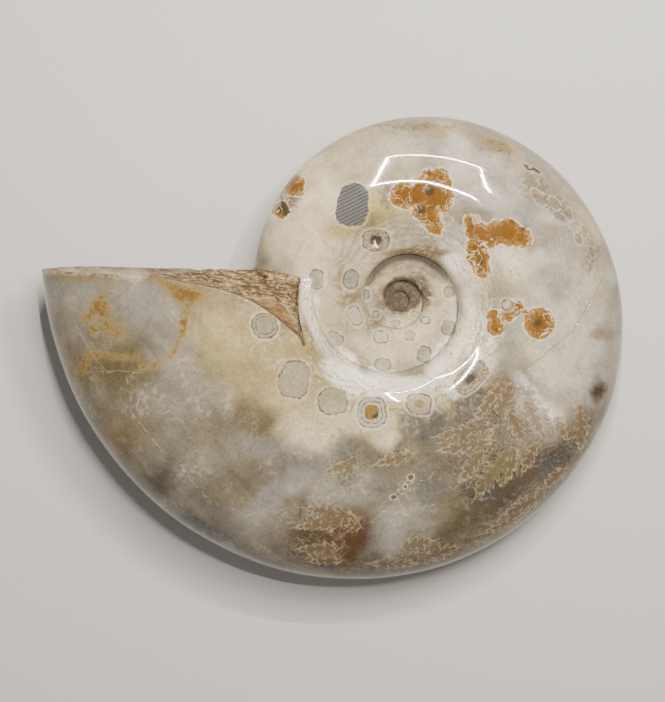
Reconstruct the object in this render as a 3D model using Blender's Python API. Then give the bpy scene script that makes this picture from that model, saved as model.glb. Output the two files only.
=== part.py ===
"""A whole ammonite, ground and polished, lying on its side.

The fossil is one solid stone. Its shell is a spiral whose whorls are copies of one
another, each larger than the last by a fixed ratio, so radii and heights are given as
shares of the keel's radius at the same angle. Metres, +Z up.

The shell's own frame has the coiling axis along Z and the middle plane of the coil at
z = 0. Angles run back along the spiral, from the mouth in towards the middle. The stone
is then laid on one flank, with the origin under the middle of its box.
"""

import math

import bmesh
import bpy
import numpy as np

# Spiral
MOUTH_RADIUS = 0.0907  # coiling axis to keel, at the tip of the mouth
EXPANSION = 2.45  # growth of the radius over one turn
MOUTH_ANGLE = math.radians(-184.4)  # direction of the tip of the mouth, from +X
MOUTH_SKEW = math.radians(-6.5)  # turn of the cut mouth between its tip and the next keel in
TURNS_MODELLED = 3  # whorls that can be told apart in the umbilicus

MOUTH_BOW = math.radians(1.2)  # how far the cut bows in towards the shell, at its middle

# Whorl section, as shares of the keel's radius
HALF_WIDTH = 0.22  # middle plane to flank
WIDEST_AT = 0.60  # radius of the widest line of the flank
SEAM_AT = 0.25  # radius of the seam where a whorl meets the one inside it
KEEL_ROUNDING = 2.2  # superellipse power of the outer half of a flank
SHOULDER_ROUNDING = 3.6  # and of its inner half, down the umbilical wall

# Gap broken out between the end of the last whorl and the whorl inside it
GAP_WIDTH = (0.45, 0.36)  # at the mouth, on the upper and the lower flank
GAP_NARROWING = math.radians(6.5)  # turn in which its width halves
GAP_REACH = math.radians(36)  # where it closes
GAP_LEAST = 0.012  # width left where it closes
GAP_LIP = 0.34  # share of its depth that drops sheer at the flank's broken edge
GAP_HOLLOW = 1.5  # power of the floor's rise from its foot to the lip
FOOT_TURN = math.radians(8)  # turn in which the floor's foot swings in to the wall
WALL_LEFT = (0.030, 0.065)  # strip of shell wall left along the seam, at the mouth and reach
WALL_STUB = 0.0009  # height of that wall where it breaks off

# Broken face of the mouth
FACE_HOLLOW = 0.0026
FACE_ROUGHNESS = 0.0006
FACE_ROWS = 8

# Resting place
REST_TILT = math.radians(4.1)  # lean of the coiling axis, since the mouth end is thickest
REST_TILT_TOWARDS = math.radians(342.5)  # direction in which it leans
FLAT_DEPTH = 0.0004  # depth of the flats worn where the flank rests

# Facets
STEPS_AT_MOUTH = 11  # over the gap
STEPS_BEYOND = 46
KEEL_ROWS = 5
WALL_ROWS = 5  # on the umbilical wall one whorl in
FLANK_ROWS = 4
LIP_STEP = 0.15  # share of the gap's width between its edge and the bottom of its lip


def keel_radius(turned):
    """Radius of the keel, falling by EXPANSION for each turn back from the mouth."""
    return MOUTH_RADIUS * EXPANSION ** (-turned / (2 * math.pi))


def mouth_skew(share):
    """Turn of the cut at a share of the keel radius: even in the share's logarithm, bowed."""
    whorls_in = -np.log(share) / math.log(EXPANSION)
    return MOUTH_SKEW * whorls_in + MOUTH_BOW * np.sin(math.pi * whorls_in) ** 2


def outer_half(share):
    """Half width of a whorl from its widest line out to the keel, a superellipse quarter."""
    reach = np.clip((share - WIDEST_AT) / (1 - WIDEST_AT), 0, 1)
    return HALF_WIDTH * (1 - reach**KEEL_ROUNDING) ** (1 / KEEL_ROUNDING)


def whorl_height(share):
    """Half width of one whorl, from its keel to the seam on the whorl inside it."""
    seam_height = outer_half(SEAM_AT * EXPANSION) / EXPANSION
    reach = np.clip((WIDEST_AT - share) / (WIDEST_AT - SEAM_AT), 0, 1)
    wall = (1 - reach**SHOULDER_ROUNDING) ** (1 / SHOULDER_ROUNDING)
    inner = seam_height + (HALF_WIDTH - seam_height) * wall
    return np.where(share >= WIDEST_AT, outer_half(share), inner)


def coil_height(share):
    """Height of the whole coil: inside a whorl's seam, the next whorl in shows."""
    whorls_in = np.maximum(0, np.ceil(np.log(SEAM_AT / share) / math.log(EXPANSION) - 1e-9))
    scale = EXPANSION**whorls_in
    return whorl_height(np.minimum(share * scale, 1)) / scale


def inner_whorl_height(share):
    """Height of the whorl inside, with the last whorl taken away; 0 beyond its keel."""
    scaled = share * EXPANSION
    return np.where(scaled < 1 - 1e-9, coil_height(np.minimum(scaled, 1)) / EXPANSION, 0.0)


def closing(turned):
    """How far the gap has closed: 0 at the mouth, 1 where it ends."""
    return np.clip(turned / GAP_REACH, 0, 1)


def gap_crest(turned):
    """Share of the keel radius at the top of the shell wall left along the seam."""
    return SEAM_AT + WALL_LEFT[0] + (WALL_LEFT[1] - WALL_LEFT[0]) * closing(turned)


def gap_edge(turned, width):
    """Share at which the last whorl's flank breaks off; it meets the crest at the end."""
    open_edge = SEAM_AT + width / (1 + turned / GAP_NARROWING)
    blend = closing(turned) ** 6
    edge = open_edge * (1 - blend) + gap_crest(turned) * blend
    return np.maximum(edge, gap_crest(turned) + GAP_LEAST)


def gap_foot(turned):
    """Share at the foot of the gap's floor: the inner keel at the mouth, then the crest."""
    crest = gap_crest(turned)
    return crest + (1 / EXPANSION - crest) * np.exp(-((turned / FOOT_TURN) ** 2))


def gap_height(turned, share, width):
    """Height inside the gap: the strip of wall, then a hollow floor up to the flank's lip."""
    inner = inner_whorl_height(share)
    crest, edge, foot = gap_crest(turned), gap_edge(turned, width), gap_foot(turned)
    stub = WALL_STUB / keel_radius(turned) * np.sin(math.pi * closing(turned))
    wall = inner + (whorl_height(share) - inner) * closing(turned) ** 1.5
    wall = wall + stub * np.clip((share - SEAM_AT) / (crest - SEAM_AT), 0, 1) ** 0.5
    low = np.where(turned > 0, inner_whorl_height(foot), 0)
    low = low + (whorl_height(foot) - low) * closing(turned) ** 1.5 + stub
    lip = whorl_height(edge) - (whorl_height(edge) - low) * GAP_LIP * (1 - closing(turned))
    across = np.clip((share - foot) / (edge - foot), 0, 1)
    floor = low + (lip - low) * across**GAP_HOLLOW
    return np.where(share > foot, floor, np.where(share > crest, np.maximum(inner, 0), wall))


def coil_or_gap_height(turned, share, width):
    """Height of the finished stone's flank over the middle plane."""
    in_gap = (turned < GAP_REACH) & (share < gap_edge(turned, width)) & (share > SEAM_AT)
    return np.where(in_gap, gap_height(turned, share, width), coil_height(share))


def turn_shares():
    """Shares of the rows in one turn, from the keel in to the keel one whorl in.

    They crowd over the rounded keel and over the umbilical wall. Each further turn
    repeats them at a smaller scale, so that they fit every whorl.
    """
    shoulder = 0.32 * EXPANSION
    seam = SEAM_AT * EXPANSION
    keel = 1 - (1 - shoulder) * (1 - np.cos(np.linspace(0, math.pi / 2, KEEL_ROWS + 1)))
    wall = seam + (shoulder - seam) * np.linspace(1, 0, WALL_ROWS + 1)[1:] ** 1.4
    flank = np.linspace(seam, 1 / EXPANSION, FLANK_ROWS + 1)[1:-1]
    return np.concatenate([keel, wall, flank])


def bend_rows(turned, share, width):
    """Bends the rows beside the gap so that one follows its edge and one its foot."""
    seam_row = SEAM_AT * EXPANSION
    back = np.clip((turned - GAP_REACH) / math.radians(75), 0, 1)
    back = back * back * (3 - 2 * back)
    edge = gap_edge(np.minimum(turned, GAP_REACH), width) * (1 - back) + seam_row * back
    foot = gap_foot(np.minimum(turned, GAP_REACH)) * (1 - back) + back / EXPANSION
    lip = edge - (edge - foot) * LIP_STEP
    lip_row = seam_row - (seam_row - 1 / EXPANSION) / FLANK_ROWS
    stops = [(SEAM_AT, SEAM_AT), (1 / EXPANSION, foot), (lip_row, lip), (seam_row, edge), (1, 1)]
    bent = share
    for (low, new_low), (high, new_high) in zip(stops, stops[1:]):
        inside = (share >= low - 1e-9) & (share <= high + 1e-9)
        bent = np.where(inside, new_low + (new_high - new_low) * (share - low) / (high - low), bent)
    return bent


def turned_steps():
    """Angles back from the mouth: close together over the gap, even beyond it."""
    near = GAP_REACH * np.linspace(0, 1, STEPS_AT_MOUTH, endpoint=False) ** 1.4
    far = np.linspace(GAP_REACH, 2 * math.pi + MOUTH_SKEW, STEPS_BEYOND, endpoint=False)
    return np.concatenate([near, far])


def flank_points(width):
    """Points of one flank, indexed by step back from the mouth and by row inwards."""
    in_turn = turn_shares()
    shares = np.concatenate([in_turn / EXPANSION**n for n in range(TURNS_MODELLED)])
    turned, share = np.meshgrid(turned_steps(), shares, indexing="ij")
    share = bend_rows(turned, share, width)
    skew = mouth_skew(share)
    radius = keel_radius(turned + skew)
    height = radius * coil_or_gap_height(turned, share, width)
    # The keel, and the inner keel at the mouth, are where the two flanks meet.
    height[:, 0] = 0
    height[0, len(in_turn)] = 0
    bearing = MOUTH_ANGLE + turned + skew
    x = radius * share * np.cos(bearing)
    y = radius * share * np.sin(bearing)
    return np.stack([x, y, height], -1)


def grid_faces(index, rows_in_turn, turned_over):
    """Quads of one flank. After the last step, each row runs on as the row one turn in."""
    after = np.full(index.shape[1], -1)
    after[: -rows_in_turn or None] = index[0, rows_in_turn:]
    grid = np.vstack([index, after])
    quads = np.stack([grid[:-1, :-1], grid[:-1, 1:], grid[1:, 1:], grid[1:, :-1]], -1)
    quads = quads[(quads >= 0).all(-1)]
    return (quads[:, ::-1] if turned_over else quads).tolist()


def mouth_face(points, upper_rim, lower_rim, first_index):
    """Hollow, rough break that closes the mouth between the rims of the two flanks."""
    inwards = np.array([-math.sin(MOUTH_ANGLE), math.cos(MOUTH_ANGLE), 0])
    along = np.linspace(0, 1, len(upper_rim))[1:-1, None]
    across = np.linspace(0, 1, FACE_ROWS + 1)[None, 1:-1]
    hollow = FACE_HOLLOW * np.sin(math.pi * along) * np.sin(math.pi * across) ** 0.5
    ripple = np.sin(17 * along + 3 * np.sin(9 * across)) * np.sin(13 * across + 2 * along)
    depth = (hollow + FACE_ROUGHNESS * ripple * np.sin(math.pi * along))[..., None]
    upper, lower = points[upper_rim][1:-1, None], points[lower_rim][1:-1, None]
    inner = upper + (lower - upper) * across[..., None] + depth * inwards
    lattice = np.zeros((len(upper_rim), FACE_ROWS + 1), int)
    lattice[:, 0] = upper_rim
    lattice[:, -1] = lower_rim
    lattice[[0, -1]] = np.array([upper_rim[0], upper_rim[-1]])[:, None]
    lattice[1:-1, 1:-1] = first_index + np.arange(inner[..., 0].size).reshape(inner.shape[:2])
    quads = np.stack([lattice[:-1, :-1], lattice[:-1, 1:], lattice[1:, 1:], lattice[1:, :-1]], -1)
    faces = [list(dict.fromkeys(quad)) for quad in quads.reshape(-1, 4).tolist()]
    return inner.reshape(-1, 3), [face for face in faces if len(face) > 2]


def shell_points_and_faces():
    """The whole stone in the shell's own frame, open only at the middle of each flank."""
    rows_in_turn = len(turn_shares())
    upper = flank_points(GAP_WIDTH[0])
    lower = flank_points(GAP_WIDTH[1]) * [1, 1, -1]
    above = np.arange(upper[..., 0].size).reshape(upper.shape[:2])
    below = above + above.size
    below[:, 0] = above[:, 0]
    below[0, rows_in_turn] = above[0, rows_in_turn]
    points = np.concatenate([upper.reshape(-1, 3), lower.reshape(-1, 3)])
    faces = grid_faces(above, rows_in_turn, False) + grid_faces(below, rows_in_turn, True)
    rim = slice(0, rows_in_turn + 1)
    more_points, more_faces = mouth_face(points, above[0, rim], below[0, rim], len(points))
    return np.concatenate([points, more_points]), faces + more_faces


def lay_on_flank(points):
    """Leans the coiling axis by REST_TILT, so that the lower flank lies on the ground."""
    lean = REST_TILT * np.array([-math.sin(REST_TILT_TOWARDS), math.cos(REST_TILT_TOWARDS), 0])
    axis = lean / REST_TILT
    cos, sin = math.cos(REST_TILT), math.sin(REST_TILT)
    return points * cos + np.cross(axis, points) * sin + np.outer(points @ axis, axis) * (1 - cos)


def grind_flats(stone):
    """Cuts the small flats at the lowest places of the flank, and closes the cuts."""
    lowest = min(vertex.co.z for vertex in stone.verts)
    cut = bmesh.ops.bisect_plane(
        stone,
        geom=stone.verts[:] + stone.edges[:] + stone.faces[:],
        plane_co=(0, 0, lowest + FLAT_DEPTH),
        plane_no=(0, 0, -1),
        clear_outer=True,
    )
    edges = [part for part in cut["geom_cut"] if isinstance(part, bmesh.types.BMEdge)]
    bmesh.ops.holes_fill(stone, edges=edges)


def centre_on_ground(stone):
    """Moves the middle of the stone's box over the origin, with its lowest flat at z = 0."""
    places = np.array([vertex.co for vertex in stone.verts])
    low, high = places.min(axis=0), places.max(axis=0)
    move = (-(low[0] + high[0]) / 2, -(low[1] + high[1]) / 2, -low[2])
    bmesh.ops.translate(stone, verts=stone.verts[:], vec=move)


def polished_calcite():
    """Pale agatised calcite with a high polish."""
    material = bpy.data.materials.new("polished_calcite")
    material.use_nodes = True
    shader = material.node_tree.nodes["Principled BSDF"]
    shader.inputs["Base Color"].default_value = (0.55, 0.48, 0.38, 1)
    shader.inputs["Roughness"].default_value = 0.15
    shader.inputs["Metallic"].default_value = 0
    return material


def make_ammonite():
    """Builds the stone's mesh, closes its middles, rests it and grinds its flats."""
    points, faces = shell_points_and_faces()
    mesh = bpy.data.meshes.new("ammonite")
    mesh.from_pydata(lay_on_flank(points).tolist(), [], faces)
    stone = bmesh.new()
    stone.from_mesh(mesh)
    bmesh.ops.delete(stone, geom=[v for v in stone.verts if not v.link_faces], context="VERTS")
    bmesh.ops.holes_fill(stone, edges=[edge for edge in stone.edges if edge.is_boundary])
    bmesh.ops.recalc_face_normals(stone, faces=stone.faces[:])
    grind_flats(stone)
    centre_on_ground(stone)
    bmesh.ops.triangulate(stone, faces=stone.faces[:])
    stone.to_mesh(mesh)
    stone.free()
    mesh.shade_smooth()
    ammonite = bpy.data.objects.new("ammonite", mesh)
    ammonite.data.materials.append(polished_calcite())
    return ammonite


for old in list(bpy.data.objects):
    bpy.data.objects.remove(old, do_unlink=True)

collection = bpy.data.collections.new("ammonite")
bpy.context.scene.collection.children.link(collection)
collection.objects.link(make_ammonite())
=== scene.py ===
"""Looks of a whole polished ammonite, lying on its flank on a pale floor.

Metres, +Z up. The shell is described in its own frame, with the coiling axis along Z and
the middle plane of the coil at z = 0, and then leaned on to its lower flank as it rests.
"""
import math

import bpy
import numpy as np
from mathutils import Matrix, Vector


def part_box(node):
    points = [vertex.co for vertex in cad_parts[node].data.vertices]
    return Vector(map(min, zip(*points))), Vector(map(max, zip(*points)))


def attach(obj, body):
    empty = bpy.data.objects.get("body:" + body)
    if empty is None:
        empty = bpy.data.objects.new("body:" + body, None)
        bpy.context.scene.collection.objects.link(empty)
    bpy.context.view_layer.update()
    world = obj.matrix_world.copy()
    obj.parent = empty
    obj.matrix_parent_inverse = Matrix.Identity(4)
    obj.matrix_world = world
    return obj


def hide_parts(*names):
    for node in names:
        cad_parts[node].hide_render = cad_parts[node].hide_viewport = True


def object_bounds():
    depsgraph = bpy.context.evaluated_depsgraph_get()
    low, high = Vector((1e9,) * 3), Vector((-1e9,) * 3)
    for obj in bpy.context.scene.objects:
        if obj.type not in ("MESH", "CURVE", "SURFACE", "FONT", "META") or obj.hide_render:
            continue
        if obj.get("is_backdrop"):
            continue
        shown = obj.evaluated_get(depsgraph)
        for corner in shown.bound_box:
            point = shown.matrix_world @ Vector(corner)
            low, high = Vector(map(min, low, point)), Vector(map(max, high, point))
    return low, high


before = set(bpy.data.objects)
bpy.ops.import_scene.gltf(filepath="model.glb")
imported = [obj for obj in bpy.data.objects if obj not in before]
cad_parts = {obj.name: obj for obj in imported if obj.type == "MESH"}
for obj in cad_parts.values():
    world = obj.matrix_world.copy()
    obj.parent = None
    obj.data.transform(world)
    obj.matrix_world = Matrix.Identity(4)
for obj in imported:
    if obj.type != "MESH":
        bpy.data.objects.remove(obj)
cad_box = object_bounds()

# The stone: one whole fossil shell, filled with calcite and polished.
# A log spiral: every radius and height is a share of the keel's radius at that angle.
MOUTH_RADIUS = 0.0907
EXPANSION = 2.45
MOUTH_ANGLE = math.radians(-184.4)
MOUTH_SKEW = math.radians(-6.5)
MOUTH_BOW = math.radians(1.2)
TURNS_SHOWN = 4
HALF_WIDTH = 0.22
WIDEST_AT = 0.60
SEAM_AT = 0.25
KEEL_ROUNDING = 2.2
SHOULDER_ROUNDING = 3.6
REST_TILT = math.radians(4.1)
REST_TILT_TOWARDS = math.radians(342.5)
FLAT_DEPTH = 0.0004


def keel_radius(turned):
    """Mouth radius, divided by EXPANSION once for each turn back from the mouth."""
    return MOUTH_RADIUS * EXPANSION ** (-turned / (2 * math.pi))


def mouth_skew(share):
    """Turn of the cut: even in the share's logarithm, plus a squared sine bow."""
    whorls_in = -np.log(share) / math.log(EXPANSION)
    return MOUTH_SKEW * whorls_in + MOUTH_BOW * np.sin(math.pi * whorls_in) ** 2


def outer_half(share):
    """Flank from its widest line to the keel: a quarter of a superellipse."""
    reach = np.clip((share - WIDEST_AT) / (1 - WIDEST_AT), 0, 1)
    return HALF_WIDTH * (1 - reach**KEEL_ROUNDING) ** (1 / KEEL_ROUNDING)


def whorl_height(share):
    """Whole flank: outer_half, and inside its widest line a steeper superellipse to the seam."""
    seam_height = outer_half(SEAM_AT * EXPANSION) / EXPANSION
    reach = np.clip((WIDEST_AT - share) / (WIDEST_AT - SEAM_AT), 0, 1)
    wall = (1 - reach**SHOULDER_ROUNDING) ** (1 / SHOULDER_ROUNDING)
    inner = seam_height + (HALF_WIDTH - seam_height) * wall
    return np.where(share >= WIDEST_AT, outer_half(share), inner)


def coil_height(share):
    """whorl_height of the whorl that shows there: each seam passed scales by EXPANSION."""
    whorls_in = np.maximum(0, np.ceil(np.log(SEAM_AT / share) / math.log(EXPANSION) - 1e-9))
    scale = EXPANSION**whorls_in
    return whorl_height(np.minimum(share * scale, 1)) / scale


# The gap beside the mouth, where the last whorl's inner margin is broken away.
# Its floor is brown matrix, hollow between a strip of shell wall and the flank's broken lip.
GAP_WIDTH = (0.45, 0.36)
GAP_NARROWING = math.radians(6.5)
GAP_REACH = math.radians(36)
GAP_LEAST = 0.012
GAP_LIP = 0.34
GAP_HOLLOW = 1.5
FOOT_TURN = math.radians(8)
WALL_LEFT = (0.030, 0.065)
WALL_STUB = 0.0009


def inner_whorl_height(share):
    """coil_height one whorl in, and 0 outside that whorl's keel."""
    scaled = share * EXPANSION
    return np.where(scaled < 1 - 1e-9, coil_height(np.minimum(scaled, 1)) / EXPANSION, 0.0)


def closing(turned):
    """0 at the mouth, rising evenly to 1 where the gap ends."""
    return np.clip(turned / GAP_REACH, 0, 1)


def gap_crest(turned):
    """Outer side of the strip of wall: the seam plus a width that grows with closing."""
    return SEAM_AT + WALL_LEFT[0] + (WALL_LEFT[1] - WALL_LEFT[0]) * closing(turned)


def gap_edge(turned, width):
    """Broken lip of the flank: the seam plus a width that falls as 1 / (1 + angle / narrowing)."""
    open_edge = SEAM_AT + width / (1 + turned / GAP_NARROWING)
    blend = closing(turned) ** 6
    edge = open_edge * (1 - blend) + gap_crest(turned) * blend
    return np.maximum(edge, gap_crest(turned) + GAP_LEAST)


def gap_foot(turned):
    """Foot of the floor: the inner keel at the mouth, falling as a bell curve to the crest."""
    crest = gap_crest(turned)
    return crest + (1 / EXPANSION - crest) * np.exp(-((turned / FOOT_TURN) ** 2))


def gap_height(turned, share, width):
    """Strip of wall, inner whorl, then a floor that rises from foot to lip as a power."""
    inner = inner_whorl_height(share)
    crest, edge, foot = gap_crest(turned), gap_edge(turned, width), gap_foot(turned)
    stub = WALL_STUB / keel_radius(turned) * np.sin(math.pi * closing(turned))
    wall = inner + (whorl_height(share) - inner) * closing(turned) ** 1.5
    wall = wall + stub * np.clip((share - SEAM_AT) / (crest - SEAM_AT), 0, 1) ** 0.5
    low = np.where(turned > 0, inner_whorl_height(foot), 0)
    low = low + (whorl_height(foot) - low) * closing(turned) ** 1.5 + stub
    lip = whorl_height(edge) - (whorl_height(edge) - low) * GAP_LIP * (1 - closing(turned))
    across = np.clip((share - foot) / (edge - foot), 0, 1)
    floor = low + (lip - low) * across**GAP_HOLLOW
    return np.where(share > foot, floor, np.where(share > crest, np.maximum(inner, 0), wall))


def coil_or_gap_height(turned, share, width):
    """gap_height between the seam and the lip within the gap's reach, else coil_height."""
    in_gap = (turned < GAP_REACH) & (share < gap_edge(turned, width)) & (share > SEAM_AT)
    return np.where(in_gap, gap_height(turned, share, width), coil_height(share))


# The stone's mesh: a grid of angles and of shares of the keel radius.
# After one turn each row runs on as the row one whorl further in.
STEPS_AT_MOUTH = 60
STEPS_BEYOND = 208
KEEL_ROWS = 16
WALL_ROWS = 13
FLANK_ROWS = 15
LIP_STEP = 0.05
FACE_ROWS = 24
FACE_HOLLOW = 0.0026


def turn_shares():
    """Rows of one turn: a cosine over the keel, a power over the shoulder, then even steps."""
    shoulder = 0.32 * EXPANSION
    seam = SEAM_AT * EXPANSION
    keel = 1 - (1 - shoulder) * (1 - np.cos(np.linspace(0, math.pi / 2, KEEL_ROWS + 1)))
    wall = seam + (shoulder - seam) * np.linspace(1, 0, WALL_ROWS + 1)[1:] ** 1.4
    flank = np.linspace(seam, 1 / EXPANSION, FLANK_ROWS + 1)[1:-1]
    return np.concatenate([keel, wall, flank])


def bend_rows(turned, share, width):
    """Shares stretched piece by piece, so that rows follow the gap's foot, lip and edge."""
    seam_row = SEAM_AT * EXPANSION
    back = np.clip((turned - GAP_REACH) / math.radians(75), 0, 1)
    back = back * back * (3 - 2 * back)
    edge = gap_edge(np.minimum(turned, GAP_REACH), width) * (1 - back) + seam_row * back
    foot = gap_foot(np.minimum(turned, GAP_REACH)) * (1 - back) + back / EXPANSION
    lip = edge - (edge - foot) * LIP_STEP
    lip_row = seam_row - (seam_row - 1 / EXPANSION) / FLANK_ROWS
    stops = [(SEAM_AT, SEAM_AT), (1 / EXPANSION, foot), (lip_row, lip), (seam_row, edge), (1, 1)]
    bent = share
    for (low, new_low), (high, new_high) in zip(stops, stops[1:]):
        inside = (share >= low - 1e-9) & (share <= high + 1e-9)
        bent = np.where(inside, new_low + (new_high - new_low) * (share - low) / (high - low), bent)
    return bent


def turned_steps():
    """Angles back from the mouth: a power over the gap, then even steps."""
    near = GAP_REACH * np.linspace(0, 1, STEPS_AT_MOUTH, endpoint=False) ** 1.4
    far = np.linspace(GAP_REACH, 2 * math.pi + MOUTH_SKEW, STEPS_BEYOND, endpoint=False)
    return np.concatenate([near, far])


def flank_grid(width):
    """Turned angle, share and point of every vertex of one flank, in the shell's frame."""
    in_turn = turn_shares()
    shares = np.concatenate([in_turn / EXPANSION**n for n in range(TURNS_SHOWN)])
    turned, share = np.meshgrid(turned_steps(), shares, indexing="ij")
    share = bend_rows(turned, share, width)
    skew = mouth_skew(share)
    radius = keel_radius(turned + skew)
    height = radius * coil_or_gap_height(turned, share, width)
    height[:, 0] = 0
    height[0, len(in_turn)] = 0
    bearing = MOUTH_ANGLE + turned + skew
    point = np.stack([radius * share * np.cos(bearing), radius * share * np.sin(bearing), height], -1)
    return turned, share, point


def grid_quads(index, rows_in_turn, turned_over):
    """Quads between neighbours; the last step joins each row to the row one turn in."""
    after = np.full(index.shape[1], -1)
    after[:-rows_in_turn] = index[0, rows_in_turn:]
    grid = np.vstack([index, after])
    quads = np.stack([grid[:-1, :-1], grid[1:, :-1], grid[1:, 1:], grid[:-1, 1:]], -1)
    quads = quads[(quads >= 0).all(-1)]
    return (quads[:, ::-1] if turned_over else quads).tolist()


rows_in_turn = len(turn_shares())
turned_up, share_up, upper = flank_grid(GAP_WIDTH[0])
turned_low, share_low, lower = flank_grid(GAP_WIDTH[1])
lower = lower * [1, 1, -1]
above = np.arange(turned_up.size).reshape(turned_up.shape)
below = above + above.size
below[:, 0] = above[:, 0]
below[0, rows_in_turn] = above[0, rows_in_turn]
points = np.concatenate([upper.reshape(-1, 3), lower.reshape(-1, 3)])
faces = grid_quads(above, rows_in_turn, False) + grid_quads(below, rows_in_turn, True)


def close_middle(index, centre, turned_over):
    """Fan from the innermost row, taken once round, to one point on the axis."""
    ring = np.concatenate([index[:, -1], index[-1, -rows_in_turn - 1 : -1][::-1]])
    fan = np.stack([ring, np.roll(ring, -1), np.full(len(ring), centre)], -1)
    return ring, (fan[:, ::-1] if turned_over else fan).tolist()


ring_above, fan_above = close_middle(above, len(points), False)
ring_below, fan_below = close_middle(below, len(points) + 1, True)
middles = [points[ring_above].mean(axis=0), points[ring_below].mean(axis=0)]
points = np.concatenate([points, middles])
faces += fan_above + fan_below


def mouth_face(points, upper_rim, lower_rim, first_index):
    """Straight lines between the rims, pushed inwards by a sine hollow."""
    inwards = np.array([-math.sin(MOUTH_ANGLE), math.cos(MOUTH_ANGLE), 0])
    along = np.linspace(0, 1, len(upper_rim))[1:-1, None]
    across = np.linspace(0, 1, FACE_ROWS + 1)[None, 1:-1]
    depth = FACE_HOLLOW * np.sin(math.pi * along) * np.sin(math.pi * across) ** 0.5
    high, low = points[upper_rim][1:-1, None], points[lower_rim][1:-1, None]
    inner = high + (low - high) * across[..., None] + depth[..., None] * inwards
    lattice = np.zeros((len(upper_rim), FACE_ROWS + 1), int)
    lattice[:, 0] = upper_rim
    lattice[:, -1] = lower_rim
    lattice[[0, -1]] = np.array([upper_rim[0], upper_rim[-1]])[:, None]
    lattice[1:-1, 1:-1] = first_index + np.arange(inner[..., 0].size).reshape(inner.shape[:2])
    quads = np.stack([lattice[:-1, :-1], lattice[:-1, 1:], lattice[1:, 1:], lattice[1:, :-1]], -1)
    quads = [list(dict.fromkeys(quad))[::-1] for quad in quads.reshape(-1, 4).tolist()]
    return inner.reshape(-1, 3), [quad for quad in quads if len(quad) > 2]


rim = slice(0, rows_in_turn + 1)
first_on_face = len(points)
face_points, face_quads = mouth_face(points, above[0, rim], below[0, rim], first_on_face)
points = np.concatenate([points, face_points])
faces += face_quads


def lay_on_flank(places):
    """Rodrigues rotation by REST_TILT, so that the axis leans towards REST_TILT_TOWARDS."""
    axis = np.array([-math.sin(REST_TILT_TOWARDS), math.cos(REST_TILT_TOWARDS), 0])
    cos, sin = math.cos(REST_TILT), math.sin(REST_TILT)
    return places * cos + np.cross(axis, places) * sin + np.outer(places @ axis, axis) * (1 - cos)


laid = lay_on_flank(points)
cad_low, cad_high = (np.array(corner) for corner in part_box("ammonite"))
shell_origin = (cad_low + cad_high) / 2 - (laid.min(axis=0) + laid.max(axis=0)) / 2
shell_origin[2] = -laid[:, 2].min() - FLAT_DEPTH
laid = laid + shell_origin

# Where each vertex lies in the plan of the markings, in millimetres.
# The lower flank takes the plan turned and scaled along the spiral, so its markings differ.
UNDERSIDE_TURN = math.radians(110)
PAST_GAP = 9.0
MIDDLE_SHARE = 0.02
FACE_SHARE = 0.5
FAR = 99.0
off_grid = len(points) - above.size * 2
turned_all = np.concatenate([turned_up.ravel(), turned_low.ravel(), np.full(off_grid, PAST_GAP)])
share_all = np.concatenate([share_up.ravel(), share_low.ravel(), np.full(off_grid, MIDDLE_SHARE)])
on_face = np.zeros(len(points), bool)
on_face[first_on_face:] = True
share_all[on_face] = FACE_SHARE
turned_all[on_face] = 0
underneath = np.zeros(len(points), bool)
underneath[above.size : above.size * 2] = True
plan = points[:, :2] * 1000
cos, sin = math.cos(UNDERSIDE_TURN), math.sin(UNDERSIDE_TURN)
turned_plan = plan @ np.array([[cos, sin], [-sin, cos]]) * EXPANSION ** (-UNDERSIDE_TURN / (2 * math.pi))
plan = np.where(underneath[:, None], turned_plan, plan)
own_radius = keel_radius(turned_all + mouth_skew(share_all)) * 1000

# Table and strides of the random values.
NOISE_TABLE = 4096
NOISE_STRIDES = np.array([7349, 9151, 12377])


def value_noise(places, cell, seed):
    """Random values on a cubic lattice of this cell size, joined by smooth steps."""
    lattice = places / cell
    corner = np.floor(lattice).astype(int)
    part = lattice - corner
    part = part * part * (3 - 2 * part)
    table = np.random.default_rng(seed).uniform(-1, 1, NOISE_TABLE)
    total = np.zeros(len(places))
    for step in np.ndindex(*[2] * places.shape[1]):
        key = (corner + step) @ NOISE_STRIDES[: places.shape[1]] % NOISE_TABLE
        total += table[key] * np.prod(np.where(step, part, 1 - part), axis=1)
    return total


def in_ellipse(places, x, y, length, width, turn):
    """Places in an ellipse's own axes, in half lengths and half widths from its middle."""
    angle = math.radians(turn)
    offset = places - [x, y]
    u = (offset[:, 0] * math.cos(angle) + offset[:, 1] * math.sin(angle)) / length
    v = (offset[:, 1] * math.cos(angle) - offset[:, 0] * math.sin(angle)) / width
    return u, v


# Soft patches of tone over the flank, partly painted light and shade: x, y, half length, half width,
# turn, tone, strength.
TONES = {
    "white": (1.0, 0.93, 0.79),
    "cream": (0.66, 0.56, 0.365),
    "milk": (0.52, 0.47, 0.385),
    "rose": (0.40, 0.32, 0.195),
    "pale grey": (0.285, 0.262, 0.22),
    "grey": (0.175, 0.165, 0.142),
    "slate": (0.07, 0.073, 0.076),
    "stone": (0.28, 0.25, 0.175),
    "sand": (0.44, 0.33, 0.165),
    "straw": (0.47, 0.365, 0.13),
    "tan": (0.19, 0.125, 0.06),
    "olive": (0.125, 0.097, 0.042),
    "umber": (0.062, 0.045, 0.028),
    "brown": (0.085, 0.049, 0.023),
    "russet": (0.075, 0.033, 0.018),
    "rust": (0.32, 0.15, 0.04),
}
# Dark ground: partly painted shade, so the flank darkens towards the lower left where no pale patch
# covers it.
GROUND = (0.17, 0.142, 0.096)
PATCH_WANDER = 2.6
PATCH_REACH = 1.45
PATCH_FADE = 0.9
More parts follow.
